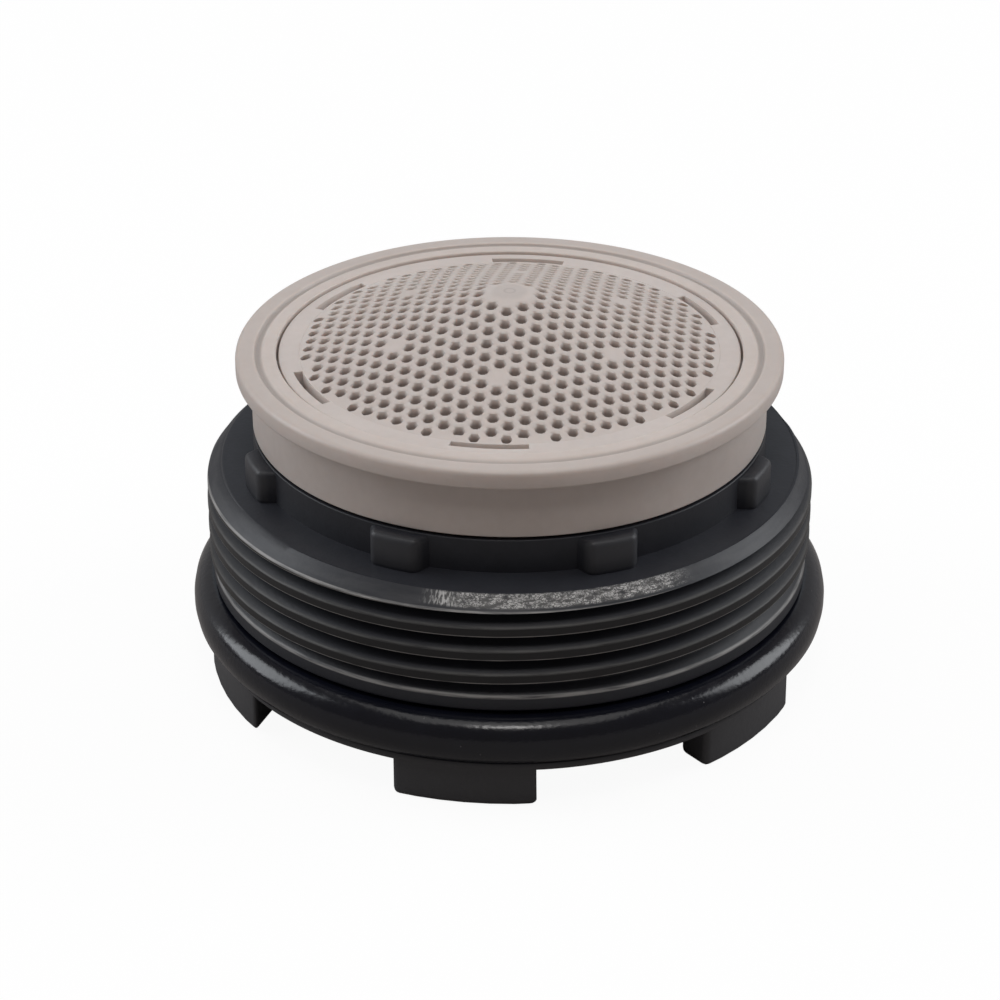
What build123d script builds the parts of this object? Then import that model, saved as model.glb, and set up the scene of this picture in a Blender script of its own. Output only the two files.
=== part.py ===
"""Recessed tap aerator with a male M24x1 thread, standing on its outlet end.

Millimetres. The axis is Z, the castellation lugs stand on z = 0 and the inlet strainer points up.
Angles are measured from +X, and -90 degrees faces the viewer.
"""

from build123d import *
import math
import os

# thread
thread_diameter = 24.0
thread_pitch = 1.0
thread_ridges = 4
thread_crest = 0.36
thread_depth = 0.55
first_crest = 0.25
lead_in_height = 0.29

# outlet end: lugs, flange, seal groove and land
lug_count = 6
lug_height = 1.57
lug_depth = 1.5
lug_half_angle = 13.2
lug_end_slant = 5.6
lug_lead_in = 0.5
lug_phase = -98.2
flange_overhang = 0.1
flange_thickness = 0.36
groove_depth = 1.1
groove_slack = 0.15
land_drop = 0.12
land_height = 0.61
housing_wall = 1.0

# collar, its snap nubs and the inner ledge
collar_inset = 1.9
collar_height = 1.35
collar_wall = 0.85
shoulder_rise = 0.11
ledge_width = 0.35
ledge_thickness = 0.6
nub_count = 8
nub_phase = -69.0
nub_depth = 0.6
nub_half_angle = 4.3
nub_root_half_angle = 9.0
nub_drop = 0.05
snap_depth = 0.55
snap_height = 0.4

# rubber ring
seal_width = 1.82
seal_height = 2.02
seal_bulge = 0.82

# inlet cup
cup_joint_gap = 0.12
cup_height = 3.23
lip_overhang = 0.59
lip_height = 0.95
lip_rounding = 0.33
lip_land = 0.34
step_run = 0.33
step_drop = 0.3
ledge_run = 0.6
skirt_wall = 0.65
bead_height = 0.25
bead_depth = 0.4

# strainer
screen_gap = 0.08
screen_rim = 0.85
screen_thickness = 0.6
cone_slope = 0.325
cone_sides = 24
tip_radius = 0.65
hole_pitch = 1.38
hole_across_flats = 0.82
screen_phase = -95.3
window_count = 6
window_half_angle = 10.0
window_width = 0.5
hook_half_angle = 6.5
hook_thickness = 0.35
hook_length = 0.9
hook_nose = 0.4

# mixing sleeve, grids and jet plate
air_gap = 0.5
sleeve_wall = 0.7
sleeve_flange = 0.4
sleeve_recess = 0.6
sleeve_lip_width = 0.55
sleeve_lip_height = 0.4
spigot_height = 1.5
air_window_count = 8
air_window_half_angle = 14.0
air_window_height = 1.2
outlet_grid_height = 2.4
outlet_cell_rings = 3
outlet_wall = 0.35
grid_height = 1.2
grid_bar = 0.55
grid_bar_count = 6
grid_rim = 0.6
jet_plate_thickness = 0.8
jet_count = 18
jet_width = 0.9
fit_gap = 0.05

# radii that follow from the sizes above
thread_radius = thread_diameter / 2
root_radius = thread_radius - thread_depth
land_radius = thread_radius - land_drop
flange_radius = thread_radius + flange_overhang
neck_radius = thread_radius - groove_depth
housing_bore = neck_radius - housing_wall
collar_radius = thread_radius - collar_inset
collar_bore = collar_radius - collar_wall
ledge_radius = collar_bore - ledge_width
sleeve_radius = ledge_radius - air_gap
sleeve_bore = sleeve_radius - sleeve_wall
grid_radius = sleeve_bore - fit_gap
skirt_radius = collar_bore - fit_gap
cup_bore = skirt_radius - skirt_wall
spigot_radius = cup_bore - fit_gap
lip_radius = collar_radius + lip_overhang
step_outer = lip_radius - lip_rounding - lip_land
step_inner = step_outer - step_run
screen_pocket = step_inner - ledge_run
screen_radius = screen_pocket - screen_gap
cone_foot = screen_radius - screen_rim

# levels that follow from the sizes above
flange_top = lug_height + flange_thickness
land_bottom = flange_top + seal_height + groove_slack
land_top = land_bottom + land_height
flank_height = (thread_pitch - thread_crest) / 2
last_crest = land_top + 2 * flank_height + (thread_ridges - 1) * thread_pitch
lead_in_top = last_crest + first_crest + lead_in_height
shoulder_top = lead_in_top + shoulder_rise
collar_top = shoulder_top + collar_height
cup_bottom = collar_top + cup_joint_gap
rim_top = cup_bottom + cup_height
ledge_level = rim_top - step_drop
screen_level = ledge_level - fit_gap
screen_seat = screen_level - screen_thickness
skirt_bottom = shoulder_top + sleeve_flange
snap_bottom = skirt_bottom + fit_gap
sleeve_top = skirt_bottom + spigot_height
grids_bottom = sleeve_recess + sleeve_lip_height


def turned(points):
    """Body turned about the axis from a closed outline of (radius, height) points."""
    outline = Polyline([(r, 0, z) for r, z in points], close=True)
    return revolve(make_face(outline), Axis.Z)


def swept(points, half_angle, centre):
    """Part of a turned body, to either side of the angle given."""
    outline = Polyline([(r, 0, z) for r, z in points], close=True)
    return Rot(0, 0, centre - half_angle) * revolve(make_face(outline), Axis.Z, 2 * half_angle)


def sector(inner, outer, half_angle, bottom, top, centre):
    """Piece of a ring between two radii, centred on the angle given."""
    return swept([(inner, bottom), (outer, bottom), (outer, top), (inner, top)], half_angle, centre)


def block(outer, start, end, inner, inner_start, inner_end, height):
    """Upright block between an outer and an inner arc, with straight cheeks."""
    outer_arc = CenterArc((0, 0), outer, start, end - start)
    inner_arc = CenterArc((0, 0), inner, inner_start, inner_end - inner_start)
    cheeks = [Line(outer_arc @ 0, inner_arc @ 0), Line(outer_arc @ 1, inner_arc @ 1)]
    return extrude(make_face([outer_arc, inner_arc, *cheeks]), height)


def around(count, phase):
    """Angles of features spaced evenly about the axis."""
    return [phase + 360 * k / count for k in range(count)]


def lattice(pitch, reach, phase):
    """Points of a triangular lattice about the axis with one row along the phase angle."""
    points = []
    span = 2 * math.ceil(reach / pitch) + 2
    turn = math.radians(phase)
    for i in range(-span, span + 1):
        for j in range(-span, span + 1):
            along = pitch * (i + j / 2)
            across = pitch * j * math.sqrt(3) / 2
            if math.hypot(along, across) <= reach:
                x = along * math.cos(turn) - across * math.sin(turn)
                y = along * math.sin(turn) + across * math.cos(turn)
                points.append((x, y))
    return points


def hexagon_pins(points, across_flats, phase, bottom, top):
    """Hexagonal prisms whose flats face the neighbours in the lattice."""
    shape = Rot(0, 0, phase + 30) * RegularPolygon(across_flats / 2, 6, major_radius=False)
    return extrude(Sketch() + [Pos(x, y, bottom) * shape for x, y in points], top - bottom)


def many_sided(radius, level):
    """Corners of the many-sided ring that a cone is built on."""
    angles = [math.radians(a) for a in around(cone_sides, screen_phase + 180 / cone_sides)]
    return [(radius * math.cos(a), radius * math.sin(a), level) for a in angles]


def make_threaded_housing():
    """Shell with thread, collar, snap nubs, seal groove, flange and castellation lugs."""
    ridges = []
    for k in range(thread_ridges):
        foot = land_top + flank_height + k * thread_pitch
        crest = foot + flank_height
        width = first_crest if k == thread_ridges - 1 else thread_crest
        ridges.append((root_radius, foot))
        ridges.append((thread_radius, crest))
        ridges.append((thread_radius, crest + width))
    body = turned([
        (housing_bore, lug_height),
        (flange_radius, lug_height),
        (flange_radius, flange_top),
        (neck_radius, flange_top),
        (neck_radius, land_bottom),
        (land_radius, land_bottom),
        (land_radius, land_top),
        *ridges,
        (root_radius, lead_in_top),
        (collar_radius, shoulder_top),
        (collar_radius, collar_top),
        (collar_bore, collar_top),
        (collar_bore, shoulder_top),
        (ledge_radius, shoulder_top),
        (ledge_radius, shoulder_top - ledge_thickness),
        (housing_bore, shoulder_top - 2 * ledge_thickness),
    ])
    added = []
    lug_inner = flange_radius - lug_depth
    lead_in = turned([(lug_inner - lug_lead_in, -lug_lead_in), (lug_inner + 2 * lug_lead_in, -lug_lead_in),
                      (lug_inner - lug_lead_in, 2 * lug_lead_in)])
    for angle in around(lug_count, lug_phase):
        start = angle - lug_half_angle
        end = angle + lug_half_angle
        lug = block(flange_radius, start, end, lug_inner, start, end - lug_end_slant, lug_height)
        added.append(lug - lead_in)
    nub = block(
        collar_radius + nub_depth, -nub_half_angle, nub_half_angle,
        collar_radius - collar_wall / 2, -nub_root_half_angle, nub_root_half_angle,
        collar_top - nub_drop - lead_in_top,
    )
    pockets = []
    for angle in around(nub_count, nub_phase):
        added.append(Pos(0, 0, lead_in_top) * Rot(0, 0, angle) * nub)
        pockets.append(sector(ledge_radius, skirt_radius + snap_depth + 4 * fit_gap, nub_half_angle + 1,
                              snap_bottom - fit_gap, snap_bottom + snap_height + fit_gap, angle))
    return body + added - pockets


def make_sealing_ring():
    """Rubber ring with a bulging outer side, resting on the flange."""
    top = flange_top + seal_height
    shoulder = neck_radius + seal_width - seal_bulge
    upper = (shoulder, 0, top)
    lower = (shoulder, 0, flange_top)
    widest = (neck_radius + seal_width, 0, flange_top + seal_height / 2)
    flats = Polyline([upper, (neck_radius, 0, top), (neck_radius, 0, flange_top), lower])
    return revolve(make_face([flats, ThreePointArc(lower, widest, upper)]), Axis.Z)


def make_mixing_sleeve():
    """Tube hung from the housing ledge, with air windows under its flange and a lip at the outlet."""
    tube = turned([
        (sleeve_bore - sleeve_lip_width, sleeve_recess),
        (sleeve_radius, sleeve_recess),
        (sleeve_radius, shoulder_top),
        (skirt_radius, shoulder_top),
        (skirt_radius, skirt_bottom),
        (spigot_radius, skirt_bottom),
        (spigot_radius, sleeve_top),
        (sleeve_bore, sleeve_top),
        (sleeve_bore, grids_bottom),
        (sleeve_bore - sleeve_lip_width, grids_bottom),
    ])
    top = shoulder_top - ledge_thickness
    windows = [sector(sleeve_bore - 1, sleeve_radius + 1, air_window_half_angle,
                      top - air_window_height, top, angle)
               for angle in around(air_window_count, nub_phase)]
    return tube - windows


def make_outlet_grid():
    """Honeycomb that straightens the stream, resting on the lip of the sleeve."""
    pitch = (grid_radius - grid_rim) / (outlet_cell_rings + 0.5)
    top = grids_bottom + outlet_grid_height
    disc = Pos(0, 0, grids_bottom) * extrude(Circle(grid_radius), outlet_grid_height)
    cells = lattice(pitch, pitch * (outlet_cell_rings + 0.01), 0)
    return disc - hexagon_pins(cells, pitch - outlet_wall, 0, grids_bottom - 1, top + 1)


def make_mixing_grid(bottom, turn):
    """Rim with parallel bars along its lower edge."""
    inner = grid_radius - grid_rim
    top = bottom + grid_height
    rim = turned([(inner, bottom), (grid_radius, bottom), (grid_radius, top), (inner, top)])
    spacing = 2 * inner / (grid_bar_count + 1)
    bars = []
    for k in range(grid_bar_count):
        offset = spacing * (k + 1) - inner
        reach = math.sqrt(inner ** 2 - offset ** 2) + grid_rim / 3
        bar = Box(2 * reach, grid_bar, grid_bar, align=(Align.CENTER, Align.CENTER, Align.MIN))
        bars.append(Rot(0, 0, turn) * Pos(0, offset, bottom) * bar)
    return rim + bars


def make_jet_plate():
    """Plate on top of the sleeve with a ring of jets near its edge."""
    top = sleeve_top + jet_plate_thickness
    plate = Pos(0, 0, sleeve_top) * extrude(Circle(spigot_radius), jet_plate_thickness)
    circle = sleeve_bore - jet_width
    angles = [math.radians(a) for a in around(jet_count, nub_phase)]
    places = [(circle * math.cos(a), circle * math.sin(a)) for a in angles]
    return plate - hexagon_pins(places, jet_width, 0, sleeve_top - 1, top + 1)


def make_inlet_cup():
    """Light cup with a rounded lip, a seat for the strainer and a snap skirt inside the collar."""
    lip_bottom = rim_top - lip_height
    bead_bottom = screen_seat - bead_height
    groove_bottom = screen_seat - hook_length - fit_gap
    body = turned([
        (cup_bore, skirt_bottom),
        (skirt_radius, skirt_bottom),
        (skirt_radius, cup_bottom),
        (collar_radius, cup_bottom),
        (collar_radius, lip_bottom),
        (lip_radius, lip_bottom),
        (lip_radius, rim_top - lip_rounding),
        (lip_radius - lip_rounding * 0.3, rim_top - lip_rounding * 0.3),
        (lip_radius - lip_rounding, rim_top),
        (step_outer, rim_top),
        (step_inner, ledge_level),
        (screen_pocket, ledge_level),
        (screen_pocket, screen_seat),
        (cup_bore, screen_seat),
        (cup_bore, bead_bottom),
        (cup_bore + bead_depth, bead_bottom),
        (cup_bore + bead_depth, groove_bottom),
        (cup_bore, groove_bottom),
    ])
    noses = [sector(skirt_radius - skirt_wall / 2, skirt_radius + snap_depth, nub_half_angle,
                    snap_bottom, snap_bottom + snap_height, angle)
             for angle in around(nub_count, nub_phase)]
    return body + noses


def make_filter_screen():
    """Conical strainer with a flat rim, windows over its snap hooks and hexagonal holes."""
    rise = cone_slope * (cone_foot - tip_radius)
    outside = ConvexPolyhedron([
        *many_sided(cone_foot, screen_seat),
        *many_sided(cone_foot, screen_level),
        *many_sided(tip_radius, screen_level + rise),
    ])
    inside = ConvexPolyhedron([
        *many_sided(cone_foot, screen_seat),
        *many_sided(tip_radius, screen_seat + rise),
    ])
    rim_inner = cone_foot - hook_thickness / 2
    rim = turned([
        (rim_inner, screen_seat),
        (screen_radius, screen_seat),
        (screen_radius, screen_level),
        (rim_inner, screen_level),
    ])
    reach = cone_foot - hole_across_flats / math.sqrt(3) - fit_gap
    places = [p for p in lattice(hole_pitch, reach, screen_phase) if math.hypot(*p) > tip_radius]
    holes = hexagon_pins(places, hole_across_flats, screen_phase, screen_seat - 1, screen_level + rise + 1)
    hook_bottom = screen_seat - hook_length
    nose_top = hook_bottom + hook_nose
    nose_radius = cup_bore + bead_depth - 2 * fit_gap
    stem_inner = cone_foot - hook_thickness
    stem_outer = cone_foot - fit_gap
    stem_top = screen_seat + screen_thickness / 3
    hook_outline = [
        (stem_inner, hook_bottom),
        (nose_radius, hook_bottom),
        (nose_radius, nose_top),
        (stem_outer, nose_top),
        (stem_outer, stem_top),
        (stem_inner, stem_top),
    ]
    windows = []
    hooks = []
    for angle in around(window_count, screen_phase):
        windows.append(sector(cone_foot, cone_foot + window_width, window_half_angle,
                              screen_seat - 1, screen_level + 1, angle))
        hooks.append(swept(hook_outline, hook_half_angle, angle))
    return (outside - inside + rim) - windows - holes + hooks


def make_parts():
    """Every separate piece by name."""
    lower = grids_bottom + outlet_grid_height
    return {
        "threaded_housing": make_threaded_housing(),
        "sealing_ring": make_sealing_ring(),
        "mixing_sleeve": make_mixing_sleeve(),
        "outlet_grid": make_outlet_grid(),
        "lower_grid": make_mixing_grid(lower, 0),
        "upper_grid": make_mixing_grid(lower + grid_height, 90),
        "jet_plate": make_jet_plate(),
        "inlet_cup": make_inlet_cup(),
        "filter_screen": make_filter_screen(),
    }


os.makedirs("parts", exist_ok=True)
for name, solid in make_parts().items():
    export_step(solid, f"parts/{name}.step")
    print(name, len(solid.solids()), round(solid.volume, 2))
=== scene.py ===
# %% [markdown]
# # A tap aerator, dressed for its picture
# The part is the small insert that screws into the end of a tap spout and mixes air into the water.
# Its solids come from the frame, already in place and in metres. This lesson adds what a camera sees:
# the true screw thread, the fine strainer, rounded edges, and the finish of each plastic and rubber.

# %% Load the frame
import math

import bmesh
import bpy
from mathutils import Matrix, Vector


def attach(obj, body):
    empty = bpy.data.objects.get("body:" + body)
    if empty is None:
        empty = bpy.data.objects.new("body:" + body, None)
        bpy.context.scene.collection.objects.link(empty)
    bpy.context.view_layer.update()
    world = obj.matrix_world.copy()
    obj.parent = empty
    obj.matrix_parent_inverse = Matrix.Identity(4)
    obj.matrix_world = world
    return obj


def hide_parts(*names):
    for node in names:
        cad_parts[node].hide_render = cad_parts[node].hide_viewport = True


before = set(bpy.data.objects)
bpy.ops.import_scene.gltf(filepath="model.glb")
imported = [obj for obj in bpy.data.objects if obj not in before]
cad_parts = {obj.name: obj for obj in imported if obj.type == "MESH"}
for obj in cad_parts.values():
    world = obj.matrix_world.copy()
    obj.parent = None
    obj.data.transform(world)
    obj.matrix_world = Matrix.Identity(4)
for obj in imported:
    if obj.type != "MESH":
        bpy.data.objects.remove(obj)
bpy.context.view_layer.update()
MM = 0.001
print("frame nodes:", sorted(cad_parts))

# %% [markdown]
# Nearly every piece here is round, so most shapes start as an outline drawn on one side of the axis.
# The outline is a flat face first, because a face lets the vertex bevel round its corners neatly.
# Then the face is dropped, and spin carries the wire right round the axis. Spin can leave the surface
# inside out, so the normals are worked out again once the seam is merged.

# %% Turn an outline about the axis
RING_STEPS = 240


def outline(corners):
    """Closed wire of (radius, height) or (radius, height, rounding) corners in mm."""
    bm = bmesh.new()
    points = [bm.verts.new((c[0] * MM, 0, c[1] * MM)) for c in corners]
    bm.faces.new(points)
    for size in sorted({c[2] for c in corners if len(c) == 3}):
        chosen = [p for p, c in zip(points, corners) if c[2:] == (size,)]
        bmesh.ops.bevel(bm, geom=chosen, offset=size * MM, offset_type="OFFSET", segments=4,
                        profile=0.5, affect="VERTICES", material=-1)
    bmesh.ops.delete(bm, geom=bm.faces[:], context="FACES_ONLY")
    return bm


def tidy(bm):
    """Weld points that coincide, then turn every face outwards."""
    bmesh.ops.remove_doubles(bm, verts=bm.verts[:], dist=1e-7)
    bmesh.ops.recalc_face_normals(bm, faces=bm.faces[:])


def turned(corners, steps=RING_STEPS):
    bm = outline(corners)
    bmesh.ops.spin(bm, geom=bm.verts[:] + bm.edges[:], cent=(0, 0, 0), axis=(0, 0, 1),
                   angle=2 * math.pi, steps=steps, use_merge=True)
    tidy(bm)
    return bm


print("a turned ring has a step every", 360 / RING_STEPS, "degrees")

# %% [markdown]
# The housing is one charcoal moulding. From the outlet up it has a thin flange, a deep groove for the
# rubber ring, a plain land, the thread, a flat shoulder and a short collar. The plain body is turned
# first, with the thread left down at its root. Nubs, lugs and the thread's ridge are added to it as
# shapes of their own, each rooted a little inside the body.

# %% Turn the plain housing
COLLAR = 10.1
FLANGE = 12.1
housing = turned([
    (9.9, 1.57), (FLANGE, 1.57, 0.15), (FLANGE, 1.93, 0.05),
    (10.9, 1.93), (10.9, 4.1), (11.88, 4.1, 0.1), (11.88, 4.71, 0.08),
    (11.42, 5.0, 0.06), (11.42, 8.88, 0.1), (COLLAR, 9.0),
    (COLLAR, 10.28), (COLLAR, 10.35, 0.05), (9.25, 10.35, 0.05), (9.25, 9.0),
    (8.9, 9.0), (8.9, 8.4), (9.9, 7.8),
])
print("housing faces:", len(housing.faces))

# %% [markdown]
# Features are easier to think of by radius, height and angle than by x and y. Angles here are counted
# in degrees from the side that faces the viewer, and they grow towards the viewer's right.

# %% Work in radius, height and angle
def polar(point):
    angle = math.degrees(math.atan2(point.x, -point.y))
    return math.hypot(point.x, point.y) / MM, point.z / MM, angle


def place(vert, radius, height, angle):
    turn = math.radians(angle)
    vert.co = (radius * math.sin(turn) * MM, -radius * math.cos(turn) * MM, height * MM)


def off_centre(angle, count, phase):
    """Degrees from the nearest centre line of an even ring of them."""
    step = 360 / count
    return (angle - phase + step / 2) % step - step / 2


def centres(count, phase):
    """Angles of the centre lines of an even ring."""
    return [phase + 360 / count * k for k in range(count)]


print("radius, height and angle of a point at the front:", polar(Vector((0, -12 * MM, 5 * MM))))

# %% [markdown]
# Nubs, lugs, snap noses and hooks are all short arcs of the ring. Each is swept from an outline by a spin
# that stops early, and the two open ends are filled. Eight nubs stand out of the collar, where the
# cup's snap noses sit behind the wall, so eight blanks are swept for them here.

# %% Sweep blanks for the nubs
def about_axis(degrees):
    return Matrix.Rotation(math.radians(degrees), 3, "Z")


def turn_by(bm, degrees):
    bmesh.ops.rotate(bm, verts=bm.verts[:], cent=(0, 0, 0), matrix=about_axis(degrees))


def arc_of(corners, middle, half, steps=12):
    """Short arc swept from an outline, closed at both ends."""
    bm = outline(corners)
    turn_by(bm, middle - half - 90)
    bmesh.ops.spin(bm, geom=bm.verts[:] + bm.edges[:], cent=(0, 0, 0), axis=(0, 0, 1),
                   angle=math.radians(2 * half), steps=steps)
    bmesh.ops.holes_fill(bm, edges=[e for e in bm.edges if e.is_boundary], sides=0)
    tidy(bm)
    return bm


NUBS = (8, 21)
NUB_HALF = 8
nub_outline = [(9.8, 8.8), (10.7, 8.8), (10.7, 10.3), (9.8, 10.3)]
nub_blanks = [arc_of(nub_outline, middle, NUB_HALF, steps=2) for middle in centres(*NUBS)]
print("nub blanks:", len(nub_blanks))

# %% [markdown]
# A nub's front is narrower than its root, so its cheeks slope. A wide bevel rounds the front edges,
# because a sharp edge would catch no light. The normals are updated first, as the bevel picks its edges
# by the angle between their faces.

# %% Round the nubs and set them in the collar
def take_in(bm, other):
    """Add another shape to this one."""
    carrier = bpy.data.meshes.new("carrier")
    other.to_mesh(carrier)
    bm.from_mesh(carrier)
    bpy.data.meshes.remove(carrier)
    other.free()


def round_over(bm, corners, sharper_than, size):
    """Bevel the bent edges that meet at some corners."""
    bm.normal_update()
    bent = {e for v in corners for e in v.link_edges if e.calc_face_angle(0) > sharper_than}
    bmesh.ops.bevel(bm, geom=list(bent), offset=size * MM, offset_type="OFFSET", segments=4,
                    profile=0.5, affect="EDGES", clamp_overlap=True, material=-1)


NARROWING = 0.4
for nub in nub_blanks:
    nub_front = [v for v in nub.verts if polar(v.co)[0] > 10.6]
    for vert in nub_front:
        radius, height, angle = polar(vert.co)
        place(vert, radius, height, angle - NARROWING * off_centre(angle, *NUBS))
    round_over(nub, nub_front, sharper_than=0.4, size=0.22)
    take_in(housing, nub)
print("housing faces with nubs:", len(housing.faces))

# %% [markdown]
# Six lugs hang under the flange, and a key turns the insert by the notches between them. Each lug is a
# short arc rooted in the flange. One cheek is cut at a slant, so the inner points are drawn back along
# the ring. The lower edges and the corners are well rounded, which leads the key in.

# %% Hang the lugs under the flange
LUGS = (6, -8.2)
LUG_HALF = 13.5
LUG_INNER = 10.6
SLANT = 5.6
lug_outline = [(LUG_INNER, 0), (FLANGE, 0), (FLANGE, 1.75), (LUG_INNER, 1.75)]
for middle in centres(*LUGS):
    lug = arc_of(lug_outline, middle, LUG_HALF, steps=6)
    for vert in lug.verts:
        radius, height, angle = polar(vert.co)
        if radius < LUG_INNER + 0.1:
            share = (off_centre(angle, *LUGS) + LUG_HALF) / (2 * LUG_HALF)
            place(vert, radius, height, angle - SLANT * share)
    lug_foot = [v for v in lug.verts if v.co.z < 0.01 * MM]
    round_over(lug, lug_foot, sharper_than=0.5, size=0.28)
    take_in(housing, lug)
print("housing faces with lugs:", len(housing.faces))

# %% [markdown]
# The thread is M24 with a pitch of one millimetre. A real thread is a ridge wound round a core, so the
# ridge's outline is spun for four turns while each step lifts it a little. The spin starts at the back
# and stops a hair short of four turns, so that no point of the ridge lies on the line where angles jump
# from 180 to -180 degrees.

# %% Wind the thread
PITCH = 1.0
TURNS = 4
STEPS = 240
START_HEIGHT = 5.03
CREST = 12
ROOT = 11.36
HALF_RIDGE = 0.52
ridge = outline([
    (ROOT, -HALF_RIDGE), (11.7, -0.34), (CREST, -0.18, 0.05), (CREST, -0.06), (CREST, 0.06),
    (CREST, 0.18, 0.05), (11.7, 0.34), (11.45, 0.472), (ROOT, HALF_RIDGE),
])
turn_by(ridge, 90.1)
bmesh.ops.translate(ridge, verts=ridge.verts[:], vec=(0, 0, START_HEIGHT * MM))
bmesh.ops.spin(ridge, geom=ridge.verts[:] + ridge.edges[:], cent=(0, 0, 0), axis=(0, 0, 1),
               dvec=(0, 0, PITCH / STEPS * MM), angle=math.radians(TURNS * 360 - 0.3),
               steps=TURNS * STEPS)
bmesh.ops.holes_fill(ridge, edges=[e for e in ridge.edges if e.is_boundary], sides=0)
tidy(ridge)
print("thread ridge faces:", len(ridge.faces))

# %% [markdown]
# A screw thread has no blunt ends. The ridge grows out of the core at the back of the first turn. The
# last turn meets a 45 degree lead-in that trims it under the shoulder, and past the right side it
# sinks into the core. Each point of the ridge is moved to the lowest of these limits.

# %% Run the thread in and out
LEAD_IN_FOOT = 8.34
FLANK = 0.34 / 0.64
SHOULDER = 8.986
SHOULDER_FALL = 0.0745
RUN_OUT = 0.62
RUN_IN = 0.25
SINK = 0.22


def ramp(angle, start, length):
    """0 up to the start, and 1 once the length is passed."""
    return min(1, max(0, (angle - start) / length))


for vert in ridge.verts:
    radius, height, angle = polar(vert.co)
    along = (angle + 180) / 360
    fade = ramp(angle, -180, 70) if height - START_HEIGHT < along + 0.6 else 1
    radius = ROOT + (radius - ROOT) * fade
    if height > START_HEIGHT + TURNS - 1.6 + along:
        crest_height = START_HEIGHT + TURNS - 1 + along
        trimmed = (LEAD_IN_FOOT + CREST - crest_height + HALF_RIDGE + ROOT * FLANK) / (1 + FLANK)
        run_out = CREST - RUN_OUT * ramp(angle, 72, 32)
        run_in = CREST - RUN_IN * min(ramp(-angle, 80, 30), ramp(angle, -180, 40))
        radius = min(radius, trimmed, run_out, run_in)
        shoulder = SHOULDER - (radius - COLLAR) * SHOULDER_FALL - SINK * ramp(angle, 125, 45)
        height = min(height, LEAD_IN_FOOT + CREST - radius, shoulder)
    place(vert, radius, height, angle)
print("thread ridge runs from", round(min(v.co.z for v in ridge.verts) / MM, 2), "mm up")
take_in(housing, ridge)

# %% [markdown]
# A shape becomes a piece when it is an object that rides on the part's body, and the frame node it
# stands for is hidden. Smooth shading suits turned work, and edges above a set angle are marked sharp, so
# that flats stay flat beside the roundings.

# %% Make the housing a piece
def make_piece(bm, name, node, sharp=32):
    """Mesh object that stands for a frame node."""
    mesh = bpy.data.meshes.new(name)
    for face in bm.faces:
        face.smooth = True
    bm.to_mesh(mesh)
    bm.free()
    mesh.set_sharp_from_angle(angle=math.radians(sharp))
    piece = bpy.data.objects.new(name, mesh)
    bpy.context.scene.collection.objects.link(piece)
    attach(piece, "root")
    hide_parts(node)
    triangles = sum(len(p.vertices) - 2 for p in mesh.polygons)
    print(name, "triangles:", triangles)
    return piece


housing_piece = make_piece(housing, "housing_moulding", "threaded_housing")

# %% [markdown]
# The sealing ring is a soft black ring, nearly round in section, squeezed into the groove. A torus would
# be too round where the groove presses the rubber flat. So its outline is a box, with large roundings on
# the outside and small ones against the groove.

# %% Turn the sealing ring
RING_OUTER = 12.71
FINE_STEPS = 288
ring = turned([
    (10.9, 1.95, 0.3), (RING_OUTER, 1.95, 0.86), (RING_OUTER, 3.94, 0.86), (10.9, 3.94, 0.3),
], steps=FINE_STEPS)
ring_piece = make_piece(ring, "rubber_ring", "sealing_ring", sharp=60)

# %% [markdown]
# The inlet cup is light grey. Its lip overhangs a plain wall, and a shallow groove runs between the lip
# and the ledge round the strainer. It could be stacked from cylinders and joined, but a single outline
# keeps the mesh clean and lets each corner that shows have its own rounding. The eight snap noses behind
# the collar are short arcs of a second outline.

# %% Turn the inlet cup
cup = turned([
    (8.55, 9.4), (9.2, 9.4), (9.2, 10.47), (10.09, 10.47, 0.06),
    (10.09, 12.75, 0.1), (10.68, 12.75, 0.08), (10.68, 13.47, 0.22), (9.95, 13.46, 0.06),
    (9.88, 13.33, 0.04), (9.74, 13.33, 0.05), (9.6, 13.45, 0.06), (9.09, 13.45, 0.07),
    (9.09, 12.75), (8.55, 12.75),
    (8.55, 12.5), (8.95, 12.5), (8.95, 11.8), (8.55, 11.8),
], steps=FINE_STEPS)
NOSE_HALF = 4.3
nose_outline = [(9.0, 9.45), (9.75, 9.45, 0.08), (9.75, 9.85, 0.08), (9.0, 9.85)]
for middle in centres(*NUBS):
    take_in(cup, arc_of(nose_outline, middle, NOSE_HALF))
cup_piece = make_piece(cup, "grey_cup", "inlet_cup")

# %% [markdown]
# The strainer is a shallow cone pierced by hexagonal holes in a triangular lattice. Boring hundreds of
# holes one by one would be slow and leave ragged faces, so one cell of the lattice is made instead: a
# hexagon, inset to leave the web, with the hole's corners rounded. A whole cell has no hole.

# %% Make a cell of the strainer
HOLE_PITCH = 0.69
HOLE_WIDTH = 0.365


def lattice_cell(pierced):
    bm = bmesh.new()
    bmesh.ops.create_circle(bm, cap_ends=True, segments=6, radius=HOLE_PITCH / math.sqrt(3) * MM)
    middle = bm.faces[:]
    if pierced:
        bmesh.ops.inset_individual(bm, faces=middle, thickness=(HOLE_PITCH - HOLE_WIDTH) / 2 * MM)
        bmesh.ops.bevel(bm, geom=list(middle[0].verts), offset=0.06 * MM, offset_type="OFFSET",
                        segments=2, profile=0.5, affect="VERTICES", material=-1)
        bmesh.ops.delete(bm, geom=[f for f in bm.faces if len(f.verts) > 8], context="FACES_ONLY")
    else:
        bmesh.ops.poke(bm, faces=middle)
    cell = bpy.data.meshes.new("cell")
    bm.to_mesh(cell)
    bm.free()
    return cell


pierced_cell = lattice_cell(True)
whole_cell = lattice_cell(False)
print("faces in a pierced cell:", len(pierced_cell.polygons))

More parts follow.
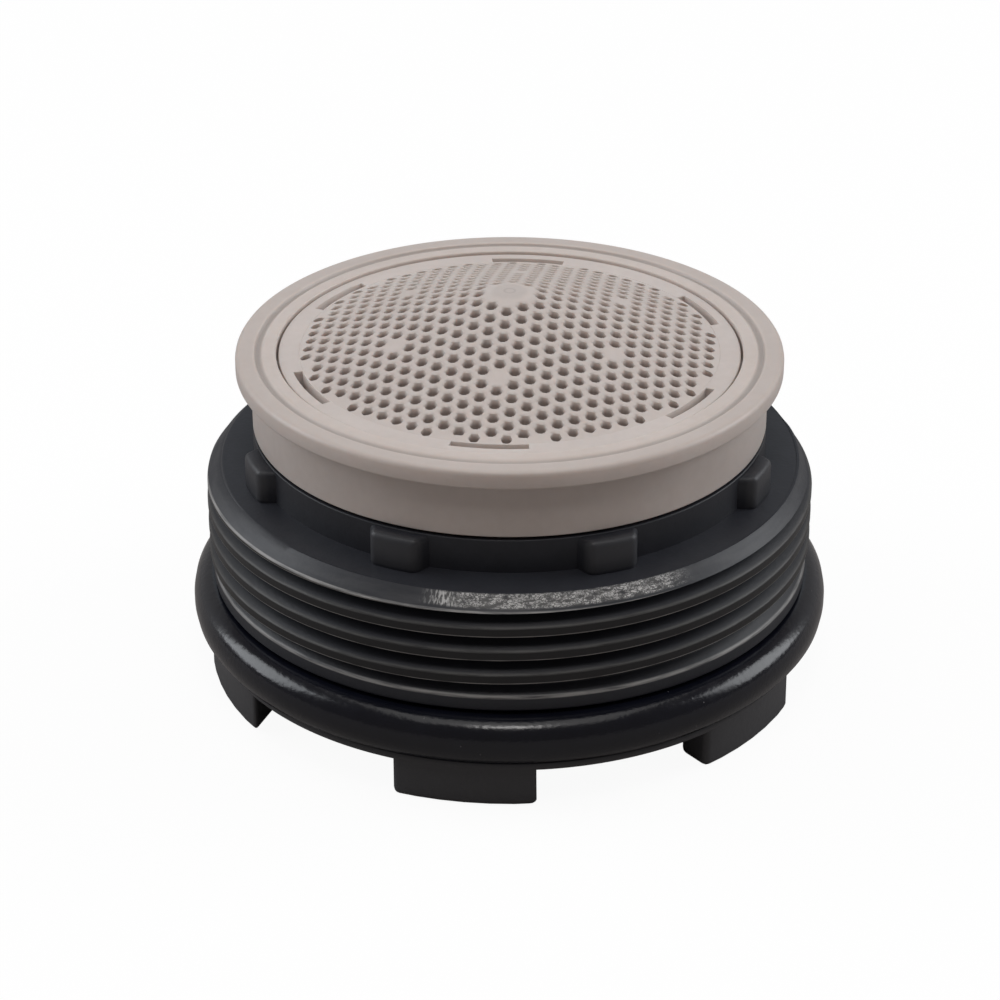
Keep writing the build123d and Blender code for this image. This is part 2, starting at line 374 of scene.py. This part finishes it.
# %% [markdown]
# Copies of the cell tile the plane and are welded together. Two counters walk along two directions of
# the lattice, 60 degrees apart. Cells at the tip, at the rim, and one on each of six spokes stay whole.

# %% Tile the strainer
REACH = 14
SHEET_RINGS = 12.6
TIP_RINGS = 1.1
HOLE_RINGS = 11.54
WHOLE_ON_SPOKE = 7
SCREEN_TURN = 84.7
screen = bmesh.new()
holes = 0
for i in range(-REACH, REACH + 1):
    for j in range(-REACH, REACH + 1):
        ring_number = math.sqrt(i * i + i * j + j * j)
        if ring_number < SHEET_RINGS:
            on_spoke = 0 in (i, j, i + j) and ring_number == WHOLE_ON_SPOKE
            whole = ring_number < TIP_RINGS or ring_number > HOLE_RINGS or on_spoke
            before = len(screen.verts)
            screen.from_mesh(whole_cell if whole else pierced_cell)
            screen.verts.ensure_lookup_table()
            shift = Vector((i + j / 2, j * math.sqrt(3) / 2, 0)) * HOLE_PITCH * MM
            bmesh.ops.translate(screen, verts=screen.verts[before:], vec=shift)
            holes += not whole
bpy.data.meshes.remove(pierced_cell)
bpy.data.meshes.remove(whole_cell)
bmesh.ops.remove_doubles(screen, verts=screen.verts[:], dist=1e-6)
turn_by(screen, SCREEN_TURN)
print("strainer holes:", holes)

# %% [markdown]
# The flat sheet is trimmed to the foot of the cone by many straight cuts, each touching the foot circle,
# because a bisect only cuts along a plane. The tip needs more points than a lattice cell has, so its
# faces are divided. Then every point is lifted, which makes a cone with a blunt tip and a soft edge to it.

# %% Lift the sheet into a cone
CONE_FOOT = 8.19
CONE_BASE = 13.336
CONE_SLOPE = 0.325
FOOT_SIDES = 120
TIP_AREA = 0.95
TIP = 0.65
EDGE_DROP = 0.09
EDGE_SPREAD = 0.22
for k in range(FOOT_SIDES):
    outward = about_axis(360 / FOOT_SIDES * k) @ Vector((1, 0, 0))
    bmesh.ops.bisect_plane(screen, geom=screen.verts[:] + screen.edges[:] + screen.faces[:], dist=1e-7,
                           plane_co=outward * CONE_FOOT * MM, plane_no=outward, clear_outer=True)
tip_faces = {f for f in screen.faces if polar(f.calc_center_median())[0] < TIP_AREA}
tip_edges = [e for e in screen.edges if e.link_faces and all(f in tip_faces for f in e.link_faces)]
bmesh.ops.subdivide_edges(screen, edges=tip_edges, cuts=3, use_grid_fill=True)
tip_faces = [f for f in screen.faces if polar(f.calc_center_median())[0] < TIP_AREA]
bmesh.ops.triangulate(screen, faces=tip_faces)
for vert in screen.verts:
    radius, height, angle = polar(vert.co)
    blunt = max(radius, TIP) + EDGE_DROP * math.exp(-((radius - TIP) / EDGE_SPREAD) ** 2)
    place(vert, radius, CONE_BASE + CONE_SLOPE * (CONE_FOOT - blunt), angle)
bmesh.ops.remove_doubles(screen, verts=screen.verts[:], dist=2e-6)
bmesh.ops.dissolve_degenerate(screen, dist=2e-6, edges=screen.edges[:])
print("cone top:", round(max(v.co.z for v in screen.verts) / MM, 3), "mm up")

# %% [markdown]
# A mould opens along the axis, so the wall is the sheet extruded straight down, and every hole runs
# straight through it. A small bevel softens the rim of each hole. The edges to bevel are found by their
# two faces: one steep wall and one face that looks up.

# %% Give the cone its wall and soften the holes
WALL = 0.58
grown = bmesh.ops.extrude_face_region(screen, geom=screen.faces[:], use_keep_orig=True)["geom"]
underside = [g for g in grown if isinstance(g, bmesh.types.BMVert)]
bmesh.ops.translate(screen, verts=underside, vec=(0, 0, -WALL * MM))
bmesh.ops.recalc_face_normals(screen, faces=screen.faces[:])
hole_rims = []
for edge in screen.edges:
    steep = [f for f in edge.link_faces if abs(f.normal.z) < 0.3]
    upper = [f for f in edge.link_faces if f.normal.z > 0.8]
    inside = max(polar(v.co)[0] for v in edge.verts) < CONE_FOOT - 0.3
    if len(steep) == 1 and len(upper) == 1 and inside:
        hole_rims.append(edge)
bmesh.ops.bevel(screen, geom=hole_rims, offset=0.08 * MM, offset_type="OFFSET", segments=2,
                profile=0.5, affect="EDGES", clamp_overlap=False, material=-1)
print("cone faces:", len(screen.faces), "rim edges softened:", len(hole_rims))

# %% [markdown]
# Round the cone runs a flat rim with six narrow windows. The rim is turned, the window faces are taken
# out above and below, and bridge_loops joins the two openings with walls. The mouths of the windows get
# a small bevel, as a moulded edge has.

# %% Turn the rim and cut its windows
WINDOWS = (6, -5.3)
WINDOW_HALF = 10
RIM_INNER = 8.21
RIM_OUTER = 9.0
RIM_FOOT = 12.75
RIM_TOP = 13.35
WINDOW_INNER = 8.24
WINDOW_OUTER = 8.58
rim = turned([
    (RIM_INNER, RIM_FOOT), (WINDOW_INNER, RIM_FOOT), (WINDOW_OUTER, RIM_FOOT), (RIM_OUTER, RIM_FOOT),
    (RIM_OUTER, RIM_TOP, 0.06), (WINDOW_OUTER, RIM_TOP), (WINDOW_INNER, RIM_TOP), (RIM_INNER, RIM_TOP),
], steps=360)
turn_by(rim, WINDOWS[1])
opened = []
for face in rim.faces:
    radius, height, angle = polar(face.calc_center_median())
    if WINDOW_INNER < radius < WINDOW_OUTER and abs(off_centre(angle, *WINDOWS)) < WINDOW_HALF:
        opened.append(face)
bmesh.ops.delete(rim, geom=opened, context="FACES")
for middle in centres(*WINDOWS):
    around = [e for e in rim.edges if e.is_boundary
              and all(abs(off_centre(polar(v.co)[2], 1, middle)) < WINDOW_HALF + 1 for v in e.verts)]
    bmesh.ops.bridge_loops(rim, edges=around)
tidy(rim)
mouths = [e for e in rim.edges if e.calc_face_angle(0) > 1
          and min(v.co.z for v in e.verts) / MM > RIM_TOP - 0.05
          and all(WINDOW_INNER - 0.01 < polar(v.co)[0] < WINDOW_OUTER + 0.01 for v in e.verts)]
bmesh.ops.bevel(rim, geom=mouths, offset=0.05 * MM, offset_type="OFFSET", segments=2,
                profile=0.5, affect="EDGES", clamp_overlap=True, material=-1)
print("rim faces:", len(rim.faces), "faces opened for windows:", len(opened))

# %% [markdown]
# Cone and rim are one moulding. Two shells that only touch would leave walls inside the plastic, and
# these would stop the light that soaks through it and show as a dark seam. So the facing walls are
# deleted, and the open edges are bridged above and below. A count of open edges proves the weld.

# %% Weld the rim to the cone
take_in(screen, rim)
between = [f for f in screen.faces
           if abs(f.normal.z) < 0.3
           and all(CONE_FOOT - 0.01 < polar(v.co)[0] < RIM_INNER + 0.01 for v in f.verts)]
bmesh.ops.delete(screen, geom=between, context="FACES")
for level in (RIM_FOOT, RIM_TOP):
    loops = [e for e in screen.edges if e.is_boundary
             and all(abs(v.co.z / MM - level) < 0.1 and polar(v.co)[0] > 8 for v in e.verts)]
    bmesh.ops.bridge_loops(screen, edges=loops)
bmesh.ops.recalc_face_normals(screen, faces=screen.faces[:])
print("open edges left in the strainer:", sum(e.is_boundary for e in screen.edges))

# %% [markdown]
# Each window shows the nose of a snap hook that holds the strainer in the cup. The mould needs the window
# to shape the nose from above, so the two share a centre line. A hook is only a short arc, so it is swept
# on its own and hung from the underside of the cone.

# %% Hang the hooks under the windows
HOOK_HALF = 6.5
hook_outline = [
    (7.8, 11.85), (8.85, 11.85, 0.06), (8.85, 12.7, 0.1), (8.1, 12.7), (8.1, 12.78), (7.8, 12.78),
]
for middle in centres(*WINDOWS):
    take_in(screen, arc_of(hook_outline, middle, HOOK_HALF))
screen_piece = make_piece(screen, "strainer_cone", "filter_screen", sharp=28)

# %% [markdown]
# Finishes. Moulded plastic is never one flat colour, and each finish here is a network of nodes that reads
# the piece's own coordinates, so it stays put when the part is turned. Every finish starts by finding
# a point's place in mm, and from that its radius, height and angle, as the shapes above did.

# %% Start the charcoal finish
def feed(tree, socket, value):
    """Link another node's output to a socket, or set the socket to a plain value."""
    if isinstance(value, bpy.types.NodeSocket):
        tree.links.new(value, socket)
    else:
        socket.default_value = value


def calc(tree, operation, first, second=0.0):
    node = tree.nodes.new("ShaderNodeMath")
    node.operation = operation
    feed(tree, node.inputs[0], first)
    feed(tree, node.inputs[1], second)
    return node.outputs[0]


def new_finish(name):
    """Finish with its place in mm, and the radius, height and angle of each point."""
    finish = bpy.data.materials.new(name)
    finish.use_nodes = True
    tree = finish.node_tree
    coordinates = tree.nodes.new("ShaderNodeTexCoord")
    in_mm = tree.nodes.new("ShaderNodeVectorMath")
    in_mm.operation = "SCALE"
    in_mm.inputs["Scale"].default_value = 1000
    tree.links.new(coordinates.outputs["Object"], in_mm.inputs[0])
    parts = tree.nodes.new("ShaderNodeSeparateXYZ")
    tree.links.new(in_mm.outputs[0], parts.inputs[0])
    x, y, z = parts.outputs
    squares = calc(tree, "ADD", calc(tree, "MULTIPLY", x, x), calc(tree, "MULTIPLY", y, y))
    radius = calc(tree, "SQRT", squares)
    angle = calc(tree, "ARCTAN2", x, calc(tree, "MULTIPLY", y, -1.0))
    degrees = calc(tree, "MULTIPLY", angle, 180 / math.pi)
    return finish, tree, in_mm.outputs[0], radius, z, degrees


charcoal, tree, where, radius, height, degrees = new_finish("charcoal_plastic")
print("nodes that find a point's place:", len(tree.nodes))

# %% [markdown]
# The housing's plastic is nearly black and mottled very finely. A painted picture could give that, but it
# would need the shape unwrapped. A noise that drifts over about half a millimetre blends two tones
# instead, and it has no seams.

# %% Mottle the charcoal
def cloud(tree, where, scale, detail=4.0):
    node = tree.nodes.new("ShaderNodeTexNoise")
    node.inputs["Scale"].default_value = scale
    node.inputs["Detail"].default_value = detail
    tree.links.new(where, node.inputs["Vector"])
    return node.outputs["Fac"]


def blend(tree, mask, first, second):
    node = tree.nodes.new("ShaderNodeMix")
    node.data_type = "RGBA"
    feed(tree, node.inputs["Factor"], mask)
    feed(tree, node.inputs[6], first)
    feed(tree, node.inputs[7], second)
    return node.outputs[2]


mottled = blend(tree, cloud(tree, where, 1.6, 6), (0.0125, 0.0137, 0.0185, 1), (0.021, 0.0225, 0.029, 1))
print("nodes with the mottling:", len(tree.nodes))

# %% [markdown]
# The thread's crests are a shade darker. Pale lines are painted along their edges, the lead-in's edge
# and the land's top edge: painted highlights where these edges catch the light, and partly rubbing where
# they met a spout. A crest follows the helix, so the distance from its middle is found by unwinding the
# height by the angle. Masks are ramps from 0 to 1, and a product of masks marks where all of them hold.

# %% Find the edges of the crests
def rise(tree, value, start, end):
    """0 before start and 1 after end, with a soft ramp between. Start may lie above end."""
    node = tree.nodes.new("ShaderNodeMapRange")
    node.interpolation_type = "SMOOTHSTEP"
    feed(tree, node.inputs["Value"], value)
    node.inputs["From Min"].default_value = start
    node.inputs["From Max"].default_value = end
    return node.outputs["Result"]


def both(tree, *masks):
    result = masks[0]
    for mask in masks[1:]:
        result = calc(tree, "MULTIPLY", result, mask)
    return result


unwound = calc(tree, "SUBTRACT", height, calc(tree, "DIVIDE", degrees, 360 / PITCH))
phase = calc(tree, "FRACT", calc(tree, "SUBTRACT", unwound, START_HEIGHT))
above_crest = calc(tree, "SUBTRACT", phase, 0.5)
threaded = both(tree, rise(tree, height, 5.1, 5.2), rise(tree, height, LEAD_IN_FOOT, 8.3))
crest = both(tree, threaded, rise(tree, radius, 11.85, 11.97))
# Painted highlights, partly rubbing: pale lines on the crest edges, the lead-in's edge and the land's top
# edge.
upper_line = both(tree, crest, rise(tree, above_crest, 0.13, 0.155))
lower_line = both(tree, crest, rise(tree, above_crest, -0.13, -0.155))
lead_in_line = both(tree, rise(tree, height, 8.28, 8.32), rise(tree, height, 8.42, 8.39),
                    rise(tree, radius, 11.9, 11.95))
land_line = both(tree, rise(tree, height, 4.6, 4.66), rise(tree, height, 4.78, 4.72),
                 rise(tree, radius, 11.7, 11.8))
# The lower crest edges get the full painted highlight, the upper ones a fifth of it.
lines = calc(tree, "ADD", calc(tree, "MULTIPLY", upper_line, 0.2), calc(tree, "ADD", lower_line, land_line))
lines = calc(tree, "MINIMUM", calc(tree, "ADD", lines, lead_in_line), 1.0)
print("nodes with the crest lines:", len(tree.nodes))

# %% [markdown]
# Rubbing leaves streaks along the turn. The noise for them is read from a flat map of the round wall,
# stretched along the turn. The lead-in is touched most by hands and keys, so it is a little paler. The
# nubs and the lugs are painted paler as well: painted light, standing in for the light they catch.

# %% Rub the charcoal
def along_turn(tree, radius, height, degrees, stretch):
    """Flat map of a round wall, stretched along the turn so that noise becomes streaks."""
    node = tree.nodes.new("ShaderNodeCombineXYZ")
    tree.links.new(calc(tree, "MULTIPLY", degrees, 0.2 / stretch), node.inputs[0])
    tree.links.new(height, node.inputs[1])
    tree.links.new(radius, node.inputs[2])
    return node.outputs[0]


streaks = cloud(tree, along_turn(tree, radius, height, degrees, 12), 10, 3)
# The streaks break up the painted edge highlights.
bright = both(tree, lines, rise(tree, streaks, 0.1, 0.7))
smears = cloud(tree, along_turn(tree, radius, height, degrees, 5), 3, 5)
on_lead_in = both(tree, rise(tree, radius, 11.45, 11.55), rise(tree, height, 8.36, 8.46),
                  rise(tree, smears, 0.35, 0.65))
# Painted light: the nubs and the lugs are made paler, in place of the light they catch from floor and room.
nub_painted_light = both(tree, rise(tree, radius, 10.3, 10.5), rise(tree, height, 9.02, 9.12))
lug_painted_light = rise(tree, height, 2.0, 1.7)
wear_and_painted_light = calc(tree, "MAXIMUM", calc(tree, "MULTIPLY", calc(tree, "ADD", on_lead_in, nub_painted_light), 0.45), lug_painted_light)
worn_and_lit_tone = blend(tree, crest, mottled, (0.009, 0.009, 0.01, 1))
# One paler tone for the worn lead-in and for the painted light on the nubs and the lugs.
worn_and_lit_tone = blend(tree, wear_and_painted_light, worn_and_lit_tone, (0.05, 0.0505, 0.055, 1))
# Painted highlights and rubbing along the edges, in one pale tone.
rubbed_and_highlighted = blend(tree, bright, worn_and_lit_tone, (0.27, 0.265, 0.26, 1))
print("nodes with the rubbing:", len(tree.nodes))

# %% [markdown]
# The front of the lead-in has a crackled whitish patch, where the thread was forced. Plastic that is bent
# too far whitens in small flakes, and a Voronoi texture gives flakes with dark cracks between them. Its
# coordinates are warped by a noise, or the flakes would look drawn. The left end is hatched instead.

# %% Crackle the lead-in
crackle = tree.nodes.new("ShaderNodeTexVoronoi")
crackle.feature = "DISTANCE_TO_EDGE"
crackle.inputs["Scale"].default_value = 11
warped = tree.nodes.new("ShaderNodeVectorMath")
warped.operation = "ADD"
tree.links.new(along_turn(tree, radius, height, degrees, 1.8), warped.inputs[0])
tree.links.new(cloud(tree, where, 1.6, 3), warped.inputs[1])
tree.links.new(warped.outputs[0], crackle.inputs["Vector"])
strokes = rise(tree, cloud(tree, along_turn(tree, radius, height, degrees, 2.5), 7, 2), 0.38, 0.56)
flakes = both(tree, rise(tree, crackle.outputs["Distance"], 0.02, 0.18), strokes)
hatch = rise(tree, cloud(tree, along_turn(tree, radius, height, degrees, 0.3), 4, 2), 0.45, 0.6)
whitened = blend(tree, rise(tree, degrees, -8, -12), flakes, hatch)
at_front = both(tree, rise(tree, degrees, -17, -11), rise(tree, degrees, 36, 27))
patch = both(tree, at_front, rise(tree, radius, 11.42, 11.5), rise(tree, height, 8.45, 8.53),
             rise(tree, cloud(tree, where, 3.5, 5), 0.25, 0.5))
scuffs = blend(tree, whitened, (0.075, 0.075, 0.075, 1), (0.5, 0.495, 0.49, 1))
print("nodes with the crackle:", len(tree.nodes))

# %% [markdown]
# Last come the shader's own values. The plastic is matt, with less shine than a polished one, and a fine
# bump breaks up its reflections. The patch stands out a little in the same bump.

# %% Finish the charcoal
def bumpy(tree, height, strength, depth):
    bump = tree.nodes.new("ShaderNodeBump")
    bump.inputs["Strength"].default_value = strength
    bump.inputs["Distance"].default_value = depth * MM
    feed(tree, bump.inputs["Height"], height)
    tree.links.new(bump.outputs["Normal"], tree.nodes["Principled BSDF"].inputs["Normal"])


shader = tree.nodes["Principled BSDF"]
tree.links.new(blend(tree, patch, rubbed_and_highlighted, scuffs), shader.inputs["Base Color"])
shader.inputs["Roughness"].default_value = 0.46
shader.inputs["Specular IOR Level"].default_value = 0.38
grain = calc(tree, "ADD", cloud(tree, where, 6, 5), calc(tree, "MULTIPLY", patch, whitened))
bumpy(tree, grain, 0.25, 0.03)
housing_piece.data.materials.append(charcoal)
print("charcoal nodes:", len(tree.nodes))

# %% [markdown]
# Rubber ring. It is nearly black with a soft gloss. Dust clings to it as pale specks, which are the middles
# of Voronoi cells, kept only where a slow noise is high. Handling has left the rubber duller in patches,
# so its roughness follows another noise instead of being one value.

# %% Black rubber
rubber, tree, where, *_ = new_finish("black_rubber")
shader = tree.nodes["Principled BSDF"]
specks = tree.nodes.new("ShaderNodeTexVoronoi")
specks.inputs["Scale"].default_value = 2.2
tree.links.new(where, specks.inputs["Vector"])
dusty = rise(tree, cloud(tree, where, 0.9, 3), 0.5, 0.62)
dust = both(tree, rise(tree, specks.outputs["Distance"], 0.09, 0.04), dusty)
skin = blend(tree, cloud(tree, where, 1.3, 5), (0.0025, 0.003, 0.006, 1), (0.006, 0.0068, 0.012, 1))
dusted = blend(tree, calc(tree, "MULTIPLY", dust, 0.5), skin, (0.2, 0.2, 0.2, 1))
tree.links.new(dusted, shader.inputs["Base Color"])
dull = tree.nodes.new("ShaderNodeMapRange")
dull.inputs["To Min"].default_value = 0.1
dull.inputs["To Max"].default_value = 0.27
tree.links.new(cloud(tree, where, 1.1, 6), dull.inputs["Value"])
tree.links.new(dull.outputs["Result"], shader.inputs["Roughness"])
shader.inputs["IOR"].default_value = 1.45
bumpy(tree, cloud(tree, where, 5, 6), 0.35, 0.03)
ring_piece.data.materials.append(rubber)
print("rubber nodes:", len(tree.nodes))

# %% [markdown]
# Light plastics. The cup and the strainer are the same warm grey with a satin skin and a slow drift in
# tone. Light soaks a little way into such plastic, so some of it is given to subsurface scatter. Shade is
# painted into the cup's groove and down the strainer's holes as a darker tone, the lip's top is a little
# darker, and the tip carries a dull gate mark.

# %% Satin plastic
def shaded_and_marked(tree, radius, height, skin):
    """Skin with painted shade in the groove and down the holes, a darker lip top, and a gate mark at the
    tip.
    """
    # Painted shade: the groove is darkened where shade gathers in it.
    groove = both(tree, rise(tree, radius, 9.62, 9.72), rise(tree, radius, 9.96, 9.9),
                  rise(tree, height, 13.25, 13.3))
    with_painted_shade = blend(tree, calc(tree, "MULTIPLY", groove, 0.4), skin, (0.2, 0.18, 0.17, 1))
    # Painted shade: the hole walls below the surface are darkened brown.
    cone_top = calc(tree, "SUBTRACT", CONE_BASE + CONE_SLOPE * CONE_FOOT,
                    calc(tree, "MULTIPLY", radius, CONE_SLOPE))
    in_hole = both(tree, rise(tree, calc(tree, "SUBTRACT", cone_top, height), 0.05, 0.25),
                   rise(tree, radius, 8.16, 8.1), rise(tree, radius, 0.8, 1.0),
                   rise(tree, height, 12.3, 12.5))
    with_painted_shade = blend(tree, calc(tree, "MULTIPLY", in_hole, 0.48), with_painted_shade, (0.15, 0.1, 0.075, 1))
    # The lip's top is made a little darker.
    lip = both(tree, rise(tree, radius, 9.92, 10.05), rise(tree, height, 13.2, 13.4))
    gate = calc(tree, "ADD", rise(tree, radius, 0.85, 0.55),
                both(tree, rise(tree, radius, 0.14, 0.18), rise(tree, radius, 0.27, 0.23)))
    darker_lip_and_gate = calc(tree, "ADD", calc(tree, "MULTIPLY", lip, 0.3), calc(tree, "MULTIPLY", gate, 0.3))
    return blend(tree, darker_lip_and_gate, with_painted_shade, (0.36, 0.32, 0.3, 1))


def satin(name, dark, light, roughness):
    finish, tree, where, radius, height, _ = new_finish(name)
    shader = tree.nodes["Principled BSDF"]
    drift = calc(tree, "ADD", cloud(tree, where, 0.35, 3), cloud(tree, where, 2.4, 5))
    skin = blend(tree, rise(tree, calc(tree, "MULTIPLY", drift, 0.5), 0.3, 0.7), dark, light)
    tree.links.new(shaded_and_marked(tree, radius, height, skin), shader.inputs["Base Color"])
    shader.inputs["Roughness"].default_value = roughness
    shader.inputs["Subsurface Weight"].default_value = 0.25
    shader.inputs["Subsurface Radius"].default_value = (1.0, 0.65, 0.5)
    shader.inputs["Subsurface Scale"].default_value = 0.7 * MM
    bumpy(tree, cloud(tree, where, 5, 5), 0.2, 0.02)
    return finish


cup_grey = satin("cup_grey", (0.54, 0.475, 0.44, 1), (0.575, 0.51, 0.475, 1), 0.42)
cup_piece.data.materials.append(cup_grey)
strainer_grey = satin("strainer_grey", (0.54, 0.48, 0.45, 1), (0.58, 0.52, 0.49, 1), 0.42)
screen_piece.data.materials.append(strainer_grey)
print("strainer grey nodes:", len(strainer_grey.node_tree.nodes))

# %% [markdown]
# The inner pieces are the natural white of the bare resin. They are seen only from the outlet and through
# the holes, so they are not modelled again: the frame's own meshes are shown, and only get a finish.

# %% White inner pieces
white = satin("natural_white", (0.56, 0.56, 0.54, 1), (0.64, 0.64, 0.62, 1), 0.45)
for name in ("jet_plate", "mixing_sleeve", "upper_grid", "lower_grid", "outlet_grid"):
    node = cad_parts[name]
    node.data.materials.clear()
    node.data.materials.append(white)
    print(name, "is", white.name)

# %% [markdown]
# The part stands on plain white paper. A studio would sweep the paper up behind the part, but the picture
# looks down far enough to see nothing else, so a single large face will do.

# %% Floor
floor_mesh = bpy.data.meshes.new("studio_floor")
sheet = bmesh.new()
bmesh.ops.create_grid(sheet, x_segments=1, y_segments=1, size=3)
sheet.to_mesh(floor_mesh)
sheet.free()
floor = bpy.data.objects.new("studio_floor", floor_mesh)
bpy.context.scene.collection.objects.link(floor)
print("floor faces:", len(floor_mesh.polygons))

# %% [markdown]
# White paper lit to full white would flood the dark underside with light. So the paper has two tones. For
# the camera it is white and glows, with a trace of the part's shadow, and for every other ray it is a
# mid grey that throws less light back.

# %% White paper
GLOW = 0.94
paper = bpy.data.materials.new("white_paper")
paper.use_nodes = True
tree = paper.node_tree
shader = tree.nodes["Principled BSDF"]
shader.inputs["Roughness"].default_value = 0.9
rays = tree.nodes.new("ShaderNodeLightPath")
tone = blend(tree, rays.outputs["Is Camera Ray"], (0.33, 0.31, 0.3, 1), (0.95, 0.95, 0.95, 1))
tree.links.new(tone, shader.inputs["Base Color"])
glow = tree.nodes.new("ShaderNodeEmission")
mix = tree.nodes.new("ShaderNodeMixShader")
tree.links.new(calc(tree, "MULTIPLY", rays.outputs["Is Camera Ray"], GLOW), mix.inputs["Fac"])
tree.links.new(shader.outputs["BSDF"], mix.inputs[1])
tree.links.new(glow.outputs["Emission"], mix.inputs[2])
tree.links.new(mix.outputs["Shader"], tree.nodes["Material Output"].inputs["Surface"])
floor_mesh.materials.append(paper)
print("paper nodes:", len(tree.nodes))

# %% [markdown]
# A broad dim box hangs overhead, and a small one in front draws the crisp highlight along the rubber ring.
# Two boxes at the sides light the flanks, and three weak, slightly cool windows behind edge the far walls.
# The front is left to the warm air of the room, which keeps the front walls darker than the sides. Area
# lamps are used because their size sets how soft each shadow and highlight is.

# %% Light
world = bpy.data.worlds.new("studio_air")
bpy.context.scene.world = world
world.use_nodes = True
air = world.node_tree.nodes["Background"]
air.inputs["Color"].default_value = (1, 0.92, 0.87, 1)
air.inputs["Strength"].default_value = 0.17
aim = Vector((0, 0, 0.01))


def softbox(name, spot, size, watts, tint):
    lamp = bpy.data.lights.new(name, "AREA")
    lamp.shape = "SQUARE"
    lamp.size = size
    lamp.energy = watts
    lamp.color = tint
    lamp_object = bpy.data.objects.new(name, lamp)
    lamp_object.location = spot
    lamp_object.rotation_euler = (aim - Vector(spot)).to_track_quat("-Z", "Y").to_euler()
    bpy.context.scene.collection.objects.link(lamp_object)


softbox("softbox_top", (0.0, -0.01, 0.3), 0.28, 0.31, (1.0, 0.99, 0.98))
softbox("small_front", (0.0, -0.12, 0.26), 0.06, 0.12, (1.0, 0.98, 0.96))
softbox("softbox_left", (-0.25, 0.05, 0.14), 0.17, 0.4, (0.92, 0.96, 1.0))
softbox("softbox_right", (0.25, 0.05, 0.14), 0.17, 0.4, (0.94, 0.97, 1.0))
softbox("window_behind", (0.0, 0.27, 0.15), 0.2, 0.04, (0.7, 0.85, 1.0))
softbox("window_left", (-0.24, 0.26, 0.08), 0.3, 0.07, (0.96, 0.98, 1.0))
softbox("window_right", (0.24, 0.26, 0.08), 0.3, 0.07, (0.96, 0.98, 1.0))

# %% [markdown]
# The camera stands a hand's breadth away and looks down a little, so the near side is plainly larger.
# A longer lens from further off would frame the part as well, but then the upper and the lower ellipses
# would come out alike. Near work also needs the camera to start drawing at a millimetre.

# %% Camera
camera_data = bpy.data.cameras.new("camera")
camera_data.lens = 112.0
camera_data.sensor_width = 36.0
camera_data.clip_start = 0.001
camera = bpy.data.objects.new("camera", camera_data)
target = Vector((-0.000374, 0, 0.0066))
camera.location = target + Vector((0, -0.1096, 0.05906))
camera.rotation_euler = (target - camera.location).to_track_quat("-Z", "Y").to_euler()
bpy.context.scene.collection.objects.link(camera)
bpy.context.scene.camera = camera
bpy.context.scene.view_settings.view_transform = "Standard"
print("camera stands", round((camera.location - target).length / MM), "mm away")
